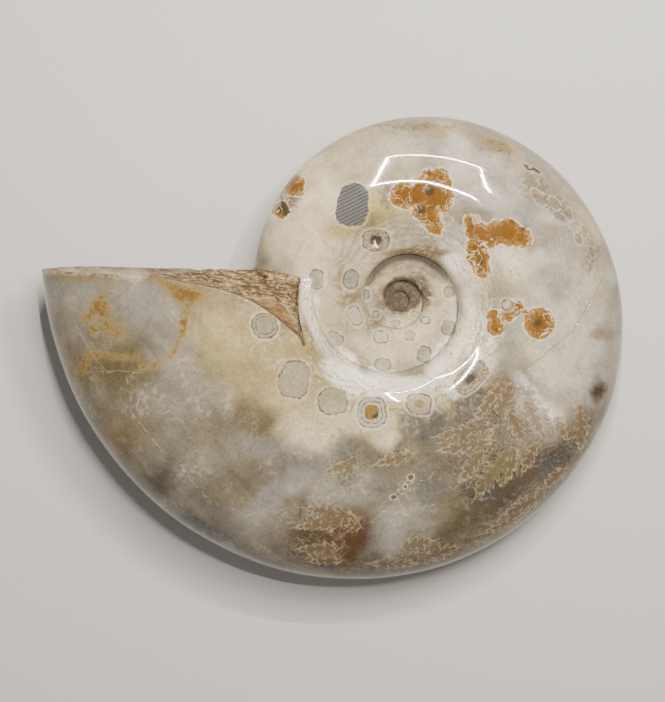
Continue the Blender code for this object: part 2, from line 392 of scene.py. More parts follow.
SOFT_PATCHES = [
    # The first broad pale patches over the upper and right side are partly painted light.
    (14, 30, 40, 20, -10, "pale grey", 0.85),
    (40, 2, 20, 32, 0, "pale grey", 0.9),
    (42, -4, 14, 20, 0, "milk", 0.75),
    (-12, 20, 20, 22, 0, "cream", 0.6),
    (-2, 42, 22, 5, 0, "sand", 0.5),
    (-26, 14, 8, 16, 10, "cream", 0.9),
    (-20, 30, 9, 8, 30, "cream", 0.7),
    (10, 36, 18, 4, -12, "milk", 0.7),
    (20, 30, 10, 6, -30, "milk", 0.4),
    (-80, 2, 12, 5, 0, "pale grey", 0.7),
    (-80, -6, 5, 4, 0, "pale grey", 0.5),
    (-64, -1, 7, 8, 0, "pale grey", 0.7),
    (-48, 3, 10, 4, -10, "sand", 0.5),
    (-55, -12, 7, 6, 0, "pale grey", 0.7),
    (-46, -20, 8, 6, -20, "stone", 0.5),
    (-40, -7, 12, 8, -15, "sand", 0.8),
    (-36, -14, 16, 9, -40, "sand", 0.6),
    (-34, -24, 10, 7, 0, "sand", 0.6),
    (-22, -30, 10, 6, -10, "cream", 0.8),
    (-84, -20, 5, 8, 20, "tan", 0.4),
    (-72, -18, 11, 6, -6, "olive", 0.8),
    (-76, -28, 8, 4, -40, "grey", 0.4),
    (-70, -33, 6, 6, 0, "tan", 0.5),
    (-56, -22, 9, 5, 0, "pale grey", 0.45),
    (-50, -36, 14, 6, -15, "stone", 0.45),
    (-58, -44, 10, 7, -35, "grey", 0.4),
    (-61, -46, 3, 3, 0, "umber", 0.8),
    (-38, -28.5, 4, 4.2, 20, "umber", 0.6),
    (-38.5, -43, 6, 4, -10, "umber", 0.35),
    (-36, -35.5, 7, 2.8, 0, "pale grey", 0.7),
    (-26, -38, 8, 3, 10, "grey", 0.5),
    (-22, -43, 8, 3.5, 10, "pale grey", 0.6),
    (-31, -48, 9, 3, 40, "pale grey", 0.8),
    (-38, -52, 5, 2.5, 0, "pale grey", 0.6),
    (-46, -57, 22, 5.5, -26, "grey", 0.75),
    (-32, -57, 7, 4, -10, "pale grey", 0.5),
    (-20, -57, 12, 6, 5, "brown", 0.6),
    (-22, -63, 9, 3, -8, "brown", 0.8),
    (-11, -59, 5.5, 5, 0, "russet", 0.8),
    (-16, -61, 9, 5, 0, "brown", 0.6),
    (-33, -36, 10, 4, 0, "grey", 0.4),
    (-17, -37, 7, 3, 20, "grey", 0.5),
    # Painted shade along the lower keel.
    (-14, -68, 14, 2.5, 0, "slate", 0.6),
    (-3, -58, 4.5, 8, 0, "pale grey", 0.85),
    (5, -54, 8, 3.6, 0, "pale grey", 0.6),
    (8, -63, 9, 4, 5, "brown", 0.7),
    # Painted shade along the lower keel.
    (2, -70, 16, 2.5, 8, "slate", 0.6),
    (-10, -37, 5, 4, 0, "slate", 0.45),
    (-12, -46, 8, 4, 0, "pale grey", 0.5),
    (8, -48, 7, 5, 0, "grey", 0.6),
    (14, -51, 6, 8, 80, "olive", 0.6),
    (18, -57, 9, 4, 20, "umber", 0.5),
    (24, -50, 9, 7, 20, "umber", 0.5),
    (32, -43, 13, 6, 35, "umber", 0.8),
    (22, -36, 12, 5, 10, "tan", 0.4),
    (20, -28, 12, 4, 48, "brown", 0.6),
    (27, -31, 5, 5, 0, "pale grey", 0.4),
    (15, -25.5, 3.5, 5, -35, "slate", 0.6),
    (6, -33, 6, 3, 30, "slate", 0.45),
    (36, -24, 4.5, 12, 25, "milk", 1.0),
    (32, -22, 3, 8, 30, "milk", 0.6),
    (41, -31, 5, 6, 0, "tan", 0.6),
    (48, -34, 4, 8, -20, "brown", 0.6),
    (34, -19, 8, 1.3, -38, "tan", 0.5),
    (38, -25, 7, 1.1, -48, "tan", 0.4),
    (28, -13, 7, 4, 0, "pale grey", 0.7),
    (34, -12, 5, 2, -15, "cream", 0.6),
    (25, -18, 7, 2, 12, "tan", 0.5),
    (52, -8, 2.5, 2, 0, "tan", 0.7),
    (50.5, -21, 3, 2.6, -30, "umber", 1.0),
    (54, -2, 3, 6, 0, "grey", 0.5),
    (55, 10, 3, 10, 10, "tan", 0.4),
    (37, 4, 3, 5, 20, "grey", 0.45),
    (24, 4, 5, 4, 0, "rose", 0.5),
    (30, 10.5, 8, 3.6, 5, "cream", 0.8),
    (26, 12, 4, 1.6, 10, "white", 0.4),
    (34, 17, 6, 1.2, 10, "rust", 0.35),
    (38, 20, 6, 2, 20, "milk", 0.6),
    (36, 27, 8, 3, -45, "tan", 0.5),
    (38, 23.5, 3, 2.4, -30, "slate", 0.45),
    (47, 18, 4, 12, 25, "sand", 0.4),
    (24, 39, 5, 2, -25, "rust", 0.5),
    (0, 33.5, 6, 3, 10, "rose", 0.5),
    (-8, 31, 5, 5, 20, "tan", 0.25),
    (-31, 7, 3, 8, 0, "grey", 0.35),
    (-10, 19, 10, 5.5, 20, "tan", 0.35),
    (-10, 20, 9, 4.5, 20, "straw", 0.7),
    (-8, 22.5, 5, 1.2, 15, "straw", 0.8),
    (0, 21, 6, 2.4, 0, "straw", 0.5),
    (-12, 10, 4.4, 3.4, 0, "milk", 0.9),
    (3, 17, 7, 2.5, -15, "grey", 0.35),
    (13, 12, 4, 7, 25, "milk", 0.9),
    (14, 21, 5, 2, 10, "tan", 0.5),
    (3, 13.3, 10, 1.6, -5, "tan", 0.9),
    (20, 2, 4, 9, 0, "cream", 0.7),
    (24, -13, 5, 5, 0, "pale grey", 0.6),
    (18, -8, 3.6, 10, 0, "white", 0.75),
    (15.5, 2, 2.4, 8, 0, "milk", 0.8),
    (-20, 4, 5, 13, 5, "cream", 0.8),
    (-19, -4, 3, 6, 10, "rose", 0.5),
    (-23, -15, 3.5, 9, 35, "straw", 0.6),
    (-23, -3, 1.6, 9, 15, "white", 0.7),
    (-10, -23.5, 9, 1.6, -12, "straw", 0.7),
    (-2, -26, 5, 1.5, -15, "straw", 0.6),
    (8, -21.5, 10, 3, 10, "white", 0.9),
    (-14, -18.5, 7, 3, -40, "white", 1.0),
    (-4, -20.5, 9, 3.2, 0, "white", 1.0),
    (14, -14, 3, 7, -38, "white", 1.0),
    (3, -24.5, 6, 2.5, 0, "cream", 0.6),
    (-13, -30, 12, 4.5, 0, "cream", 0.9),
    (-4, -31.5, 4, 5, 0, "straw", 0.5),
    (-24, -24, 6, 4, 0, "straw", 0.35),
    (-44, -14, 12, 7, -35, "straw", 0.25),
    (-3, -32.5, 3, 5, 0, "cream", 1.0),
    (-3, -11, 11, 5, 0, "cream", 0.9),
    (-14, 0, 5, 9, 0, "rose", 0.7),
    (7, -9, 7, 5, 20, "cream", 0.6),
    (8, -1, 6, 8, 0, "cream", 0.8),
    (9, 5, 5, 3, -50, "milk", 0.8),
    (0, 8, 8, 2.5, 0, "rose", 0.5),
    # Umber patches under the upper wall, here and on the next line: painted shadow over a dark deposit.
    (-6, 8, 2.4, 2, 40, "umber", 0.8),
    (9, 8, 4, 1.2, -40, "umber", 0.6),
    (8, 1, 3.5, 1.3, 10, "sand", 1.0),
    (0, -2, 6.5, 6, 0, "tan", 0.5),
    (1.5, -4.5, 4, 2.2, -20, "sand", 0.9),
    (-5.5, -2, 2, 3, 0, "grey", 0.4),
    (-6, 4, 3.5, 1.4, 10, "cream", 0.6),
    # Painted shadow over a dark deposit under the upper wall.
    (0.5, 8.0, 7, 2.6, 0, "umber", 0.5),
    (-6.2, 1, 2.0, 6, 0, "tan", 0.65),
    (6.0, 3.5, 2.0, 4.5, -10, "tan", 0.7),
    (0.5, -5.2, 5, 1.6, 0, "tan", 0.45),
    (-13, 2, 4, 3, 0, "tan", 0.3),
    (9, -17, 5, 3, 40, "white", 1.0),
    (18, -44.5, 7, 6, 30, "umber", 0.65),
    (43, -41, 5, 9, -20, "umber", 0.5),
    (33, -30, 6, 5, -30, "tan", 0.4),
    # Painted shade along the lower keel.
    (-45, -63, 18, 2.5, -24, "slate", 0.5),
    (-21, -50.5, 5, 2.2, 0, "olive", 0.6),
    (7, -49.5, 5, 3, 0, "grey", 0.6),
    (-13, 33, 5, 3, 30, "tan", 0.3),
    (-12, 18.5, 6, 3, 15, "tan", 0.5),
    (-11, 21.5, 6, 1.3, 15, "straw", 0.8),
    (8, 34, 3, 6, 20, "grey", 0.25),
    (46, 4, 4, 14, 10, "rose", 0.4),
    (38, 12, 10, 7, 0, "pale grey", 0.4),
    (22, 24, 6, 3, -40, "milk", 0.6),
    (30, 34, 8, 3, -35, "sand", 0.4),
    # Painted shade along the lower keel.
    (-46, -61.5, 14, 3.2, -26, "slate", 0.5),
    (-13, -60, 5.5, 6.5, 5, "russet", 0.45),
    (-19, -60, 9, 8, 0, "brown", 0.4),
    (7, -49.5, 4, 3.5, 0, "slate", 0.35),
    (19, -45, 5, 5, 30, "slate", 0.5),
    (41, -43, 5, 5, 0, "slate", 0.4),
    (33, -25.5, 3.2, 8, 38, "white", 0.75),
    (31, -24, 1.2, 5, 38, "grey", 0.5),
    (36, -27, 1.0, 5, 30, "grey", 0.4),
    (-12, 19, 4, 3, 10, "tan", 0.35),
    (-16, 17, 6, 3, 30, "straw", 0.5),
    (-1, -20.5, 10, 2.6, 0, "white", 0.9),
    (-16, -19, 6, 2.4, -40, "white", 0.6),
    (14, 9, 3, 4, 30, "white", 0.6),
    (5, 3.7, 2.0, 2.6, -20, "umber", 0.85),
    (-15, 2.3, 2.6, 3.2, 0, "tan", 0.85),
    (18, -45, 4.5, 5, 30, "umber", 0.55),
    (41, -43.5, 4.5, 4.5, 0, "slate", 0.45),
    # Painted shade along the lower keel.
    (-46, -61.5, 13, 3, -26, "slate", 0.45),
    (-21, -50.5, 5, 2.6, 0, "umber", 0.5),
    (-30, -44, 6, 3.5, 20, "grey", 0.4),
]


def paint_patches(places):
    """Ground tone, covered by each soft ellipse in turn; its strength fades along a smooth step."""
    spread = np.stack([value_noise(places, 7.0, 11), value_noise(places, 7.0, 12)], -1)
    finer = np.stack([value_noise(places, 2.6, 13), value_noise(places, 2.6, 14)], -1)
    places = places + PATCH_WANDER * spread + 0.4 * PATCH_WANDER * finer
    colour = np.tile(GROUND, (len(places), 1))
    for *ellipse, tone, strength in SOFT_PATCHES:
        u, v = in_ellipse(places, *ellipse)
        weight = np.clip((PATCH_REACH - np.hypot(u, v)) / PATCH_FADE, 0, 1)
        weight = strength * weight * weight * (3 - 2 * weight)
        colour += (np.array(TONES[tone]) - colour) * weight[:, None]
    return colour


# Amber-filled chambers: discs x, y, radius, and the dark cores that some of them hold.
AMBER_DISCS = [
    (0.0, 26.5, 3.4),
    (3.0, 26.8, 3.8),
    (7.8, 26.3, 4.5),
    (6.2, 31.2, 1.7),
    (9.2, 31.2, 2.2),
    (10.8, 29.5, 1.6),
    (5.0, 22.5, 2.8),
    (6.5, 20.5, 2.5),
    (8.2, 18.5, 1.8),
    (16.5, 20, 1.6),
    (18.2, 17.5, 2.6),
    (20.5, 15.8, 2.8),
    (23, 17, 3.1),
    (26, 17.3, 3.4),
    (29.5, 16, 2.6),
    (18.3, 13.5, 2.8),
    (18.8, 11, 2.9),
    (19.5, 8.4, 2.3),
    (23, -6.5, 2.2),
    (22.5, -3.6, 1.5),
    (26.2, -3.0, 1.8),
    (28.0, -1.6, 2.3),
    (34.2, -5.4, 4.0),
    (31.6, -3.2, 1.4),
    (-27, 28.5, 2.6),
    (-30.5, 22.5, 2.0),
]
AMBER_CORES = [
    (6.3, 27.8, 1.5),
    (4.3, 23, 1.3),
    (16.9, 19, 0.7),
    (33.8, -5.2, 1.1),
    (19.5, 10, 0.8),
    (29.5, 18.5, 0.9),
    (-28.5, 23.5, 2.8),
]


def disc_distance(places, discs):
    """Distance to the nearest disc's rim, below zero inside it."""
    return np.min(
        [np.hypot(places[:, 0] - x, places[:, 1] - y) - radius for x, y, radius in discs], axis=0
    )


# Iron stain: x, y, half length, half width, turn, strength.
OCHRE_STAINS = [
    (-53.5, 2, 4.6, 2.8, 0, 1.0),
    (-59, 4.5, 5, 1.4, -25, 0.7),
    (-75.0, -1.0, 2.2, 2.8, 0, 1.3),
    (-71.5, -7, 3.6, 2.0, -50, 0.95),
    (-78, -5, 2.6, 2.2, -40, 0.5),
    (-70, -13.6, 6.5, 1.1, -2, 0.6),
    (-80, 5, 8, 0.9, 0, 0.6),
    (-72, 3.5, 3, 1.0, 15, 0.5),
    (-70.5, -31, 2.0, 3.2, 10, 0.25),
    (-84, -16, 1.5, 4, 10, 0.5),
    (24, 39.5, 4, 1.2, -25, 0.6),
    (36, 17.3, 4, 0.7, 8, 0.5),
    (-29, 9, 1.5, 6, 5, 0.3),
    (8, 43.5, 9, 0.8, -3, 0.5),
]


def stain_weight(places, stains):
    """Sum of bell curves, one for each stain."""
    total = np.zeros(len(places))
    for *ellipse, strength in stains:
        u, v = in_ellipse(places, *ellipse)
        total += strength * np.exp(-(u**2) - v**2)
    return total


# Cut ends of the siphon and of wall folds: x, y, half length, half width, turn, fill,
# then 0 to 1 for inner rings, an amber core, a druse, and a pale rim in place of a dark one.
SPOTS = [
    (-35.0, -5.6, 2.9, 3.1, 10, "stone", 0.9, 0, 0, 0),
    (-27.6, -19.1, 4.7, 3.8, 80, "stone", 0, 0, 0, 0),
    (-17.8, -24.5, 3.6, 3.3, 0, "stone", 0, 0, 0, 0),
    (-8.0, -27.3, 3.4, 3.6, 0, "milk", 1, 1, 0, 0),
    (3.9, -25.4, 3.2, 2.6, -10, "sand", 0.2, 0.6, 0, 0),
    (17.0, -19.0, 5.0, 2.8, 42, "rust", 0.4, 0, 1, 0),
    (-6.8, 15.0, 3.2, 2.5, 0, "sand", 0.3, 0, 1, 0),
    (-21.5, 5.2, 1.7, 2.4, 0, "grey", 0, 0, 0, 0),
    (-12.9, 5.2, 1.9, 2.4, -15, "grey", 0, 0, 0, 0),
    (-11.7, -4.0, 1.6, 2.4, 25, "milk", 0, 0, 0, 0),
    (-16.8, -9.8, 2.2, 1.6, -30, "pale grey", 0, 0, 0, 0),
    (-4.5, -16.2, 2.0, 1.6, -10, "pale grey", 0, 0, 0, 0),
    (6.0, -13.7, 1.6, 1.9, -10, "grey", 0, 0, 0, 0),
    (12.1, -6.9, 1.5, 2.0, -15, "grey", 0, 0, 0, 0),
    (12.3, 2.0, 1.3, 1.5, 20, "grey", 0, 0, 0, 0),
    (-5.0, -9.4, 1.7, 1.5, 0, "milk", 0, 0, 0, 0),
    (2.3, -9.0, 1.4, 1.2, 0, "rose", 0, 0, 0, 0),
    (6.4, -5.2, 1.2, 0.9, 0, "milk", 0, 0, 0, 0),
    (-8.6, 1.2, 0.8, 1.1, 10, "grey", 0, 0, 0, 0),
    (-6.1, -3.8, 0.8, 0.8, 0, "rose", 0, 0, 0, 0),
    (-0.9, -6.2, 1.1, 0.8, 0, "rose", 0, 0, 0, 0),
    (3.9, -3.8, 0.8, 0.7, 0, "milk", 0, 0, 0, 0),
    (26.0, -0.8, 1.3, 1.2, 0, "milk", 0, 0, 0, 0),
    (-12.8, 24.0, 4.0, 5.3, -14, "slate", 0, 0, 0, 0),
    (33.9, 26.1, 2.9, 1.3, -53, "tan", 0, 0, 0, 1),
    (38.2, 24.6, 2.2, 1.3, -50, "tan", 0, 0, 0, 1),
    (41.9, 22.0, 1.8, 1.1, -80, "tan", 0, 0, 0, 1),
    (33.6, 32.9, 1.8, 0.5, -30, "umber", 0, 0, 0, 1),
    (31.1, 33.7, 1.5, 0.4, -50, "umber", 0, 0, 0, 1),
    (44.3, 15.8, 1.6, 1.0, -70, "tan", 0, 0, 0, 1),
    (46.0, 18.0, 1.4, 0.9, -60, "tan", 0, 0, 0, 1),
    (11.0, 20.5, 1.3, 0.8, 0, "grey", 0, 0, 0, 1),
    (18.2, 20.6, 1.0, 1.0, 0, "sand", 0, 0, 0, 1),
    (1.9, -43.8, 0.9, 0.8, 20, "umber", 0, 0, 0, 1),
    (0.6, -46.2, 0.6, 0.7, 0, "umber", 0, 0, 0, 1),
    (-2.3, -48.8, 0.9, 0.7, 10, "umber", 0, 0, 0, 1),
]
SPOT_REACH = 1.8
SPOT_SQUARENESS = 2.6


def spot_layout(places):
    """Each vertex's place in the nearest spot's own axes, where the rim is at length 1."""
    best = np.full(len(places), FAR)
    local = np.zeros((len(places), 3))
    fill = np.zeros((len(places), 4))
    kind = np.zeros((len(places), 4))
    for x, y, length, width, turn, tone, rings, core, druse, pale in SPOTS:
        u, v = in_ellipse(places, x, y, length, width, turn)
        reach = np.hypot(u, v)
        size = (length + width) / 2
        gap = (reach - 1) * size
        mine = gap < best
        best = np.where(mine, gap, best)
        local[mine] = np.stack([u, v, np.full(len(u), size)], -1)[mine]
        fill[mine] = (*TONES[tone], 1)
        kind[mine] = (rings, core, druse, pale)
    fill[:, 3] = best < SPOT_REACH
    return local, fill, kind


# Frilled lobes of the suture lines: base x, y, tip x, y, half width, tone (0 tan, 1 olive).
LEAVES = [
    (26.5, -37.5, 18.7, -48.7, 3.4, 1.0),
    (28.5, -38.5, 26.0, -46.0, 1.6, 0.9),
    (21.0, -36.2, 14.3, -45.2, 2.3, 0.3),
    (22.5, -34.8, 8.5, -37.3, 1.9, 0.2),
    (23.0, -31.0, 8.5, -33.6, 2.1, 0.0),
    (24.8, -20.5, 17.5, -30.5, 1.7, 0.0),
    (24.0, -28.0, 27.5, -20.0, 2.6, 0.2),
    (26.5, -27.0, 30.5, -35.0, 2.5, 0.4),
    (31.0, -25.0, 36.0, -34.5, 2.0, 0.2),
    (33.5, -36.0, 30.5, -43.0, 1.8, 0.5),
    (27.5, -35.5, 28.8, -40.5, 1.2, 0.4),
    (38.5, -29.0, 42.0, -35.0, 1.7, 0.4),
    (45.0, -26.0, 46.5, -38.5, 2.5, 0.1),
    (42.0, -43.0, 36.5, -47.5, 2.2, 0.3),
    (36.5, -50.0, 26.5, -54.0, 2.5, 0.4),
    (31.0, -55.5, 21.5, -59.0, 1.6, 0.3),
    (-13.0, -53.5, -24.0, -51.5, 2.0, 0.7),
    (-14.0, -55.0, -27.0, -56.5, 1.8, 0.6),
    (-16.0, -62.0, -26.0, -62.5, 2.0, 0.2),
    (-15.0, -65.5, -23.0, -66.0, 1.5, 0.2),
    (-10.5, -56.5, -15.0, -55.0, 1.4, 0.9),
    (2.0, -38.0, -7.0, -40.5, 2.0, 0.6),
    (-12.0, -38.5, -15.5, -44.0, 1.7, 1.0),
    (-14.5, -40.0, -19.5, -42.5, 1.4, 1.0),
    (0.5, -62.0, 8.0, -60.5, 2.2, 0.5),
    (7.0, -65.0, 15.0, -62.5, 2.4, 0.1),
    (-7.0, -66.5, 5.0, -67.0, 1.8, 0.3),
    (-30.5, 21.0, -25.5, 30.0, 2.4, 0.0),
]
LEAF_MARGIN = 0.25
LOBE_PITCH = 2.3


# Groups of bright flecks, painted glints off fine scratches and pits: x, y, half length, half width,
# turn, weight.
PAINTED_GLINTS = [
    (-55, -19, 6, 5, 0, 1.0),
    (-52, -26, 5, 4, 0, 0.7),
    (-66, -24, 5, 6, -40, 0.5),
    (4, -43, 5, 3, -30, 1.0),
    (-2, -47, 4, 3, -30, 0.8),
    (-35, -12, 7, 5, -30, 0.5),
    (-30, -14, 5, 6, 0, 0.5),
    (-26, -34, 9, 6, 0, 0.4),
    (18, -53, 4, 3, 0, 0.6),
]


# Zones of crowded sutures: x, y, half length, half width, turn, weight.
FRILL_ZONES = [
    (23, -30, 13, 6, 40, 1.0),
    (20, -40, 9, 6, 10, 0.9),
    (34, -33, 8, 6, -40, 0.9),
    (46, -33, 3, 7, -15, 0.9),
    (32, -51, 8, 4, 25, 0.9),
    (40, -45, 4, 3, 50, 0.8),
    (24, -58, 7, 2.5, 20, 0.7),
    (7, -63.5, 9, 4, 3, 1.0),
    (-21, -54, 8, 4, 0, 0.9),
    (-23, -63, 8, 3.5, 0, 0.9),
    (-14, -43, 4, 5, 0, 0.8),
    (-3, -39, 7, 2.2, 5, 0.8),
    (33, 29, 4, 5, 45, 0.7),
    (40, 23, 4, 3, -50, 0.8),
    (-28.5, 25.5, 6, 3.2, 60, 0.9),
    (23, -5, 2.2, 4.5, 0, 0.9),
    (48, 12, 4, 8, -15, 0.5),
    (24, 39, 5, 1.8, -25, 0.7),
    (2, 44, 14, 2, 0, 0.6),
    (15.5, 20.5, 3, 2.5, 0, 0.6),
    (-4.5, 26, 2, 4, 0, 0.8),
]


def leaf_layout(places):
    """Each vertex's place in the nearest leaf's axes: 0 to 1 along its rib, 1 at its half width."""
    best = np.full(len(places), FAR)
    local = np.zeros((len(places), 3))
    size = np.zeros((len(places), 3))
    for x, y, tip_x, tip_y, width, tone in LEAVES:
        rib = np.array([tip_x - x, tip_y - y])
        length = np.hypot(*rib)
        offset = places - [x, y]
        u = offset @ rib / length**2
        v = (offset[:, 1] * rib[0] - offset[:, 0] * rib[1]) / length / width
        gap = np.maximum(np.abs(u - 0.5) * 2, np.abs(v))
        mine = gap < best
        best = np.where(mine, gap, best)
        local[mine] = np.stack([u, v, np.zeros(len(u))], -1)[mine]
        size[mine] = (length, width, tone)
    local[:, 2] = best < 1 + LEAF_MARGIN
    return local, size


# The thin crack across the last whorl, and short ones near the mouth and the keel.
CRACKS = [
    [(26.4, 7.5), (27.1, 7.7)],
    [(51, 6), (42.8, -7.3), (28.3, -19), (15, -36), (5, -44.3), (-0.7, -48), (-10, -56.2)],
    [(-67, 5), (-70, 1.5), (-73.5, 0)],
    [(-86, 5), (-87.5, 1.5), (-89.5, 0.8)],
    [(-20, 15), (-17, 12)],
    [(-75, -30), (-73, -32.5)],
    [(46, -20), (44, -16)],
]
# Pale healed scratches of the last whorl.
SCRATCHES = [
    [(-74, -18), (-71, -17), (-64, -17.5)],
    [(-70, -24.5), (-64, -32), (-58, -39.5), (-48, -50)],
    [(-82, -5), (-76, -15), (-70, -21)],
    [(-56, -39), (-52, -45)],
    [(-42, -2), (-37, -3.5)],
    [(12, 29), (18.5, 37)],
    [(36, -17), (45, -28)],
    [(-30, 12), (-24, 30)],
]
# Narrow trails of iron stain between the blots.
STAIN_TRAILS = [
    [(-53.5, 2), (-54, -3), (-55, -8), (-57, -12), (-61, -15.5), (-66, -16.5)],
    [(-79, -13.2), (-74, -13), (-66, -14)],
    [(-79, -13), (-80.5, -19)],
    [(-76, 1.5), (-75, -3), (-72, -6.5), (-70.5, -10)],
    [(-81, -3), (-78.5, -6), (-76, -8)],
    [(-78.5, -1.5), (-74.5, -3)],
]
# In the gap: the line between crystal-lined matrix above and smooth streaked matrix below.
DIVIDE = [[(-46, 3.5), (-41.2, 1.4), (-33.1, 0.8), (-29.6, -0.9), (-26.5, -6.3)]]
# Small pits: x, y, radius, depth.
PITS = [
    (-7.0, 15.2, 1.7, 1.1),
    (2.2, -43.6, 0.9, 0.5),
    (0.8, -46.6, 0.7, 0.45),
    (-2.2, -49.0, 0.9, 0.5),
    (-58, -31, 0.8, 0.15),
    (11, -51.5, 0.4, 0.15),
    (13, -56.1, 0.5, 0.15),
]


def line_distance(places, lines, reach):
    """Signed distance to the nearest line, 1 beside it within reach but 0 past its ends, and 0."""
    best = np.full(len(places), FAR)
    within = np.zeros(len(places))
    for line in lines:
        for start, end in zip(line, line[1:]):
            along = np.subtract(end, start)
            offset = places - start
            part = offset @ along / (along @ along)
            side = np.sign(offset[:, 1] * along[0] - offset[:, 0] * along[1])
            gap = np.hypot(*(offset - np.clip(part, 0, 1)[:, None] * along).T)
            past = (part < 0) & (start == line[0]) | (part > 1) & (end == line[-1])
            mine = gap < np.abs(best)
            best = np.where(mine, gap * side, best)
            within = np.where(mine, ~past & (gap < reach), within)
    return np.stack([best, within, np.zeros(len(places))], -1)


# Wear of the surface, in millimetres out along the normal. The polish is gently wavy, the
# matrix and the broken face are rough, and a strip of bare shell wall runs beside the gap.
WAVINESS = 0.11
MATRIX_ROUGHNESS = 0.5
FACE_ROUGHNESS = 0.45
MATRIX_DEPTH = 4
STRIP_AT = SEAM_AT + 0.015
STRIP_HALF_WIDTH = 0.025
STRIP_REACH = GAP_REACH * 1.6
crest_all = gap_crest(turned_all)
edge_all = gap_edge(turned_all, np.where(underneath, GAP_WIDTH[1], GAP_WIDTH[0]))
inside_gap = np.minimum(share_all - crest_all, edge_all - share_all) * own_radius
beside_gap = (turned_all < GAP_REACH) & ~on_face
matrix_depth = np.where(beside_gap, np.clip(inside_gap, -MATRIX_DEPTH, MATRIX_DEPTH), -MATRIX_DEPTH)
strip = np.clip(1 - np.abs(share_all - STRIP_AT) / STRIP_HALF_WIDTH, 0, 1)
strip = np.where(turned_all < STRIP_REACH, strip, 0)

# Dark deposit with painted shade in the middle of the coil, and painted shadow with deposit under the
# upper side of the last whorl's wall.
MIDDLE = (0.6, 1.2)
MIDDLE_RADIUS = 4.9
ARCH_WIDTH = 2.6
OUTER_WHORL = 1.02 / EXPANSION
middle_gap = np.hypot(*(plan - MIDDLE).T) - MIDDLE_RADIUS
bearing_all = np.arctan2(points[:, 1], points[:, 0])
radius_all = np.maximum(np.hypot(points[:, 0], points[:, 1]) * 1000, 0.5)

mesh = bpy.data.meshes.new("polished_stone")
mesh.from_pydata(laid.tolist(), [], faces)
normals = np.empty(len(laid) * 3, np.float32)
mesh.vertex_normals.foreach_get("vector", normals)
normals = normals.reshape(-1, 3)
millimetres = points * 1000
waves = value_noise(millimetres, 14.0, 21)
ripples = value_noise(millimetres, 6.0, 22)
relief = WAVINESS * waves + 0.35 * WAVINESS * ripples
grit = value_noise(millimetres, 1.3, 23) + 0.6 * value_noise(millimetres, 0.7, 24)
relief += np.clip(matrix_depth / 1.5, 0, 1) * MATRIX_ROUGHNESS * grit
relief += on_face * FACE_ROUGHNESS * (grit + value_noise(millimetres, 4.0, 25))
for x, y, radius, depth in PITS:
    relief -= depth * np.exp(-(((plan - [x, y]) ** 2).sum(axis=1)) / radius**2)
laid = laid + relief[:, None] / 1000 * normals
laid[:, 2] = np.maximum(laid[:, 2], 0)
mesh.vertices.foreach_set("co", laid.ravel())
mesh.update()
mesh.shade_smooth()
stone = bpy.data.objects.new("polished_stone", mesh)
bpy.context.scene.collection.objects.link(stone)


def add_attribute(name, values):
    """Store a number, a vector or a colour for each vertex, by how many columns there are."""
    kinds = {1: ("FLOAT", "value"), 3: ("FLOAT_VECTOR", "vector"), 4: ("FLOAT_COLOR", "color")}
    kind, slot = kinds[values.size // len(values)]
    attribute = mesh.attributes.new(name, kind, "POINT")
    attribute.data.foreach_set(slot, np.ascontiguousarray(values, np.float32).ravel())


own_share = share_all * EXPANSION ** np.ceil(np.log(SEAM_AT / share_all) / math.log(EXPANSION) - 1e-6)
seam_gap = np.minimum(own_share - SEAM_AT, SEAM_AT * EXPANSION - own_share)
seam_gap = seam_gap * own_radius * share_all / own_share
seam_gap = np.where(share_all > SEAM_AT * 1.5, FAR, seam_gap)
# Arch: painted shadow with a dark deposit, only on the upper side, just inside the last whorl's seam.
on_upper_side = np.clip(1.6 * np.sin(bearing_all - 0.1), 0, 1)
arch = np.clip(1 - seam_gap / ARCH_WIDTH, 0, 1) * (own_share > 0.45) * on_upper_side
arch = arch * (share_all < SEAM_AT * 1.01) * (share_all > SEAM_AT / EXPANSION)
outwards = 30 * np.log(radius_all) + 9 * underneath
sweep = np.stack([6 * np.cos(bearing_all), 6 * np.sin(bearing_all), outwards], -1)
tint = paint_patches(plan)
spot_local, spot_fill, spot_kind = spot_layout(plan)
leaf_local, leaf_size = leaf_layout(plan)
add_attribute("tint", np.concatenate([tint, np.ones((len(tint), 1))], axis=1))
add_attribute("amber", disc_distance(plan, AMBER_DISCS))
add_attribute("amber_core", disc_distance(plan, AMBER_CORES))
add_attribute("ochre", stain_weight(plan, OCHRE_STAINS))
add_attribute("spot", spot_local)
add_attribute("spot_fill", spot_fill)
add_attribute("spot_kind", spot_kind)
add_attribute("leaf", leaf_local)
add_attribute("leaf_size", leaf_size)
add_attribute("frills", stain_weight(plan, FRILL_ZONES))
add_attribute("crack", line_distance(plan, CRACKS, 2.5))
add_attribute("scratch", line_distance(plan, SCRATCHES, 2.5))
add_attribute("trail", line_distance(plan, STAIN_TRAILS, 4.5))
add_attribute("divide", line_distance(plan, DIVIDE, 9.0))
add_attribute("seam", seam_gap)
add_attribute("middle", middle_gap)
add_attribute("arch", arch)
add_attribute("sweep", sweep)
add_attribute("matrix", matrix_depth)
add_attribute("strip", strip)
add_attribute("broken_face", on_face)
add_attribute("share", share_all)
add_attribute("wall_gap", (share_all - SEAM_AT) * own_radius)
add_attribute("painted_glints", stain_weight(plan, PAINTED_GLINTS))
add_attribute("mouth_gap", np.where(share_all > OUTER_WHORL, turned_all * share_all * own_radius, FAR))


def node(tree, kind, inputs, **settings):
    """A new node with these settings, its inputs set to values or joined to sockets."""
    made = tree.nodes.new(kind)
    for name, value in settings.items():
        setattr(made, name, value)
    for name, value in inputs.items():
        if isinstance(value, bpy.types.NodeSocket):
            tree.links.new(value, made.inputs[name])
        else:
            made.inputs[name].default_value = value
    return made


